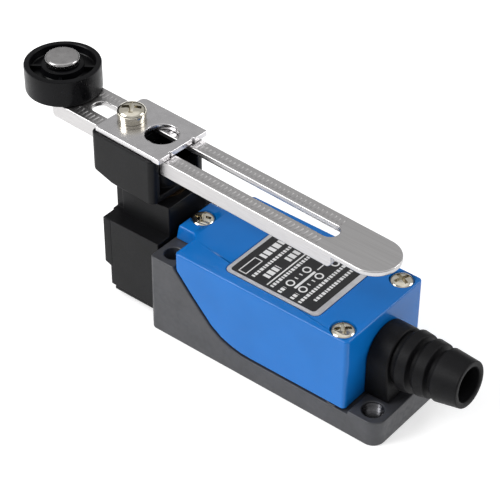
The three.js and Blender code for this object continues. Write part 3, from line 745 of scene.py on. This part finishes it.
def make_roller():
    z0, z1, r = ROLLER_Z0, ROLLER_Z1, ROLLER_R
    hub, inner = ROLLER_HUB, ROLLER_RIM
    rim = [
        (2.2, z0), (hub - 0.1, z0), (hub, z0 + 0.1), (hub, z0 + 2), (inner, z0 + 2),
        (inner, z0 + 0.15), (inner + 0.15, z0), (r - 0.35, z0), (r - 0.1, z0 + 0.1),
        (r, z0 + 0.35), (r, z1 - 0.35), (r - 0.1, z1 - 0.1), (r - 0.35, z1), (inner + 0.15, z1),
        (inner, z1 - 0.15), (inner - 0.1, z1 - 1.9), (inner - 0.25, z1 - 2.05),
        (hub + 0.2, z1 - 2.05), (hub + 0.05, z1 - 1.9), (hub - 0.05, z1 - 0.35),
        (hub - 0.25, z1 - 0.2), (2.2, z1 - 0.2),
    ]
    at = LEVER @ Matrix.Translation((ROLLER_X, 0, 0))
    piece = turned("roller_body", rim, at, 128)
    ribs = []
    for quarter in range(4):
        turn = at @ Matrix.Rotation(0.7 + quarter * math.pi / 2, 4, "Z")
        ribs.append(block(hub - 0.3, inner + 0.2, -0.35, 0.35, z1 - 2.4, z1 - 1.1, turn))
    combine(piece, ribs, "UNION")
    shade(piece, 38)
    return finish_piece(piece, "roller_body", NYLON_BLACK, "roller_wheel", ["roller"])


def make_cover_screws():
    for number, (x, y) in enumerate(COVER_SCREWS, start=1):
        length = 8.2 if x < 0 else 22.3
        make_screw(
            f"cover_bolt_{number}", f"cover_screw_{number}", "housing", (x, y, SCREW_SEAT),
            head_r=2.8, head_h=1.8, shank_r=1.35, length=length, turn=0.4 * number,
        )


def make_clamp_screw():
    at = LEVER @ Vector((CLAMP_X, 0, CLAMP_SEAT))
    make_screw(
        "clamp_bolt", "clamp_screw", "lever", at,
        head_r=3.4, head_h=2.2, shank_r=1.9, length=13, turn=0.6,
    )


def make_axle():
    at = LEVER @ Matrix.Translation((ROLLER_X, 0, 0))
    profile = [
        (0, 39), (2.6, 39), (2.9, 39.15), (3, 39.5), (3, 40.15), (2, 40.15), (2, 48.6),
        (3.9, 48.6), (4.05, 48.75), *arc(3.45, 49.5, 0.6, 0, 90, 8), (0, 50.1),
    ]
    piece = turned("axle_rivet", profile, at, 96)
    shade(piece, 40)
    return finish_piece(piece, "axle_rivet", RIVET_STEEL, "arm", ["roller_axle"])


# ---- Scene --------------------------------------------------------------


def dress_cad_nodes():
    """Gives every CAD node that stays visible a detailed material for its slot."""
    by_slot = {
        "casting": CASTING, "cover": BLUE, "label": FOIL, "black_plastic": BLACK, "rubber": RUBBER,
        "nickel": NICKEL, "steel": STEEL, "bronze": BRONZE, "brass": BRASS, "phenolic": PHENOLIC,
        "nylon": NYLON,
    }
    for entry in frame["record"]["subparts"]:
        mesh = frame["nodes"][entry["node"]].data
        mesh.materials.clear()
        mesh.materials.append(by_slot[entry["material_slot"]])


def make_stage():
    """A pale floor that glows a little, as on a photographer's light table."""
    floor = block(-4000, 4000, -4000, 4000, -1.0, 0)
    floor.name = "floor"
    shader = Shader("pale_floor", 0.9)
    shader.colour(shader.noise(3, 2), (0.78, 0.78, 0.78), (0.82, 0.82, 0.82))
    shader.set("Specular IOR Level", 0.0)
    shader.set("Emission Color", (1, 1, 1, 1))
    shader.set("Emission Strength", 0.45)
    floor.data.materials.append(shader.material)


def add_light(name, location, target, size, power):
    data = bpy.data.lights.new(name, "AREA")
    data.shape = "RECTANGLE"
    data.size, data.size_y = size
    data.energy = power
    light = bpy.data.objects.new(name, data)
    light.location = location
    aim = Vector(target) - Vector(location)
    light.rotation_euler = aim.to_track_quat("-Z", "Y").to_euler()
    bpy.context.scene.collection.objects.link(light)


def make_lights():
    centre = (-0.01, 0, 0.02)
    add_light("key", (-0.44, -0.56, 0.56), centre, (0.45, 0.45), 5.6)
    add_light("rim", (0.56, 0.55, 0.44), centre, (0.4, 0.4), 2.4)
    world = bpy.data.worlds.new("studio")
    world.use_nodes = True
    nodes, links = world.node_tree.nodes, world.node_tree.links
    height = nodes.new("ShaderNodeSeparateXYZ")
    links.new(nodes.new("ShaderNodeTexCoord").outputs["Generated"], height.inputs["Vector"])
    ramp = nodes.new("ShaderNodeValToRGB")
    stops = ramp.color_ramp.elements
    stops[0].position, stops[0].color = 0.0, (0.10, 0.10, 0.10, 1)
    stops[1].position, stops[1].color = 1.0, (1, 1, 1, 1)
    for position, level in ((0.25, 0.10), (0.42, 0.52), (0.78, 0.56), (0.9, 1.0)):
        stops.new(position).color = (level, level, level, 1)
    links.new(height.outputs["Z"], ramp.inputs["Fac"])
    links.new(ramp.outputs["Color"], nodes["Background"].inputs["Color"])
    bpy.context.scene.world = world
    bpy.context.scene.view_settings.view_transform = "Standard"


def make_camera():
    """A long lens looking down at the boot end from the near side."""
    azimuth, elevation, roll = math.radians(38.78), math.radians(38.6), math.radians(0.41)
    target = Vector((-22.56, 10.55, 12.0)) * MM
    distance = 421.22 * MM
    back = Vector((
        math.sin(azimuth) * math.cos(elevation), -math.cos(azimuth) * math.cos(elevation),
        math.sin(elevation),
    ))
    right = Vector((math.cos(azimuth), math.sin(azimuth), 0))
    up = back.cross(right)
    tilted_right = math.cos(roll) * right + math.sin(roll) * up
    tilted_up = math.cos(roll) * up - math.sin(roll) * right
    data = bpy.data.cameras.new("camera")
    data.sensor_width = 36
    data.lens = 130.43
    data.clip_start, data.clip_end = 0.01, 20
    camera = bpy.data.objects.new("camera", data)
    rotation = Matrix((tilted_right, tilted_up, back)).transposed().to_4x4()
    camera.matrix_world = Matrix.Translation(target + back * distance) @ rotation
    bpy.context.scene.collection.objects.link(camera)
    bpy.context.scene.camera = camera


make_camera()
make_lights()
make_stage()
dress_cad_nodes()
make_base()
make_cover()
make_label()
make_boot()
make_head()
make_cover_screws()
make_hub()
make_plate()
make_arm()
make_roller()
make_axle()
make_clamp_screw()
refine("head_bottom_cap", BLACK, "housing", 0.25)
refine("clamp_washer", NICKEL, "lever", 0.12)
